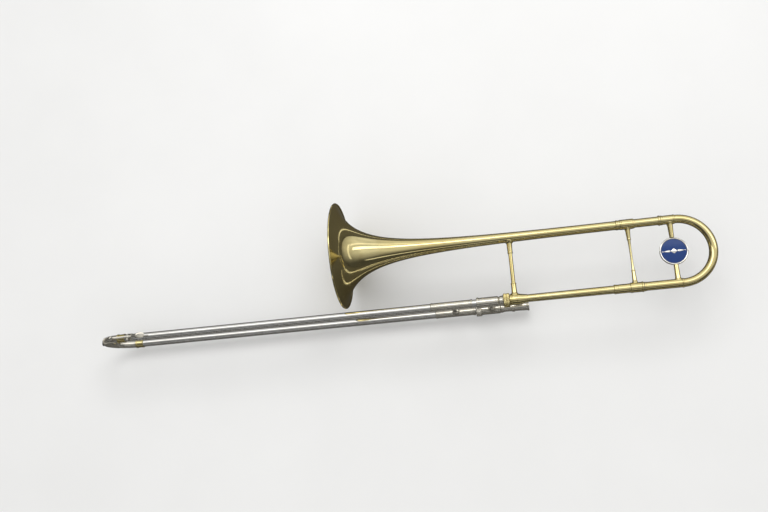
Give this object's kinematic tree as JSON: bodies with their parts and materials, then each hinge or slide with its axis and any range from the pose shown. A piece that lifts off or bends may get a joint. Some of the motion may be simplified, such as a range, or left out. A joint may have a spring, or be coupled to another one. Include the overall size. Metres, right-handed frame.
{
  "type": "trombone",
  "caption": "Straight tenor trombone, assembled with its hand slide closed: flared bell section, tuning slide with a round badge, and a U-shaped sliding tube with a water key.",
  "frame": {"origin": "centre of the bell's mouth, in the plane of the rim's flat front, on the bell's axis", "axes": "+X along the bell's axis from the mouth towards the tuning slide, so the bell and hand slide point to -X; +Z normal to the plane of the bell section; +Y from the gooseneck towards the bell stem; the mouthpiece leg lies below the gooseneck, at -Z"},
  "size_m": [1.1914, 0.2314, 0.2032],
  "materials": {
    "lacquered_brass": "clear-lacquered polished yellow brass",
    "nickel_silver": "polished nickel silver, slightly dull",
    "bright_nickel": "bright nickel plate",
    "chrome_plate": "hard chrome, mirror bright",
    "raw_brass": "unlacquered brass",
    "blue_enamel": "glossy blue enamel under clear resin",
    "cork": "natural cork",
    "rubber": "black rubber",
    "steel": "plain steel"
  },
  "bodies": {
    "bell_section": {"bell": "lacquered_brass", "bell_rim_bead": "lacquered_brass", "bell_stem_ferrule": "lacquered_brass", "upper_tuning_leg": "lacquered_brass", "lower_tuning_leg": "lacquered_brass", "tuning_leg_rings": "lacquered_brass", "gooseneck": "lacquered_brass", "gooseneck_ferrule": "lacquered_brass", "lower_leg_collar": "lacquered_brass", "bell_receiver": "lacquered_brass", "front_brace": "lacquered_brass", "front_brace_sockets": "lacquered_brass", "rear_brace": "lacquered_brass"},
    "tuning_slide": {"tuning_inner_legs": "nickel_silver", "tuning_bow": "lacquered_brass", "upper_bow_ferrule": "lacquered_brass", "lower_bow_sleeve": "lacquered_brass", "medallion_struts": "lacquered_brass", "medallion_rim": "bright_nickel", "medallion_back": "bright_nickel", "medallion_disc": "blue_enamel"},
    "lock_nut": {"bell_lock_nut": "lacquered_brass"},
    "inner_slide": {"inner_slide_tubes": "chrome_plate", "slide_stockings": "chrome_plate", "bell_side_cork_barrel": "nickel_silver", "mouthpiece_cork_barrel": "nickel_silver", "cork_bumpers": "cork", "bell_tenon": "nickel_silver", "mouthpiece_receiver": "nickel_silver", "leadpipe": "raw_brass", "inner_brace": "nickel_silver", "inner_brace_sockets": "nickel_silver"},
    "lock_ring": {"slide_lock_ring": "nickel_silver"},
    "outer_slide": {"outer_slide_tubes": "bright_nickel", "outer_slide_sleeves": "nickel_silver", "slide_lock_pin": "nickel_silver", "hand_brace": "nickel_silver", "hand_brace_sockets": "nickel_silver", "end_bow": "nickel_silver", "end_bow_ferrules": "lacquered_brass", "end_bow_guard": "nickel_silver", "end_bow_bumper": "rubber", "water_key_nipple": "nickel_silver", "water_key_saddle": "nickel_silver", "water_key_pivot_screw": "steel", "water_key_spring": "steel"},
    "water_key": {"water_key_lever": "nickel_silver", "water_key_cork": "cork"}
  },
  "joints": [
    {"name": "tuning_slide_pull", "type": "slide", "parent": "bell_section", "child": "tuning_slide", "axis": [1, 0, 0], "range_m": [0, 0.04]},
    {"name": "section_swivel", "type": "hinge", "parent": "bell_section", "child": "lock_nut", "pos_m": [0.305, -0.117, 0], "axis": [1, 0, 0], "range_deg": [-195, 15]},
    {"name": "section_release", "type": "slide", "parent": "lock_nut", "child": "inner_slide", "axis": [-1, 0, 0], "range_m": [0, 0.04]},
    {"name": "hand_slide", "type": "slide", "parent": "inner_slide", "child": "outer_slide", "axis": [-1, 0, 0], "range_m": [0, 0.6]},
    {"name": "slide_lock_turn", "type": "hinge", "parent": "inner_slide", "child": "lock_ring", "pos_m": [0.2487, -0.117, -0.08], "axis": [1, 0, 0], "range_deg": [0, 35]},
    {"name": "water_key_press", "type": "hinge", "parent": "outer_slide", "child": "water_key", "pos_m": [-0.431, -0.117, 0.0116], "axis": [0, 1, 0], "range_deg": [0, 12], "stiffness_Nm_per_rad": 0.05, "springref_deg": -20.05}
  ]
}
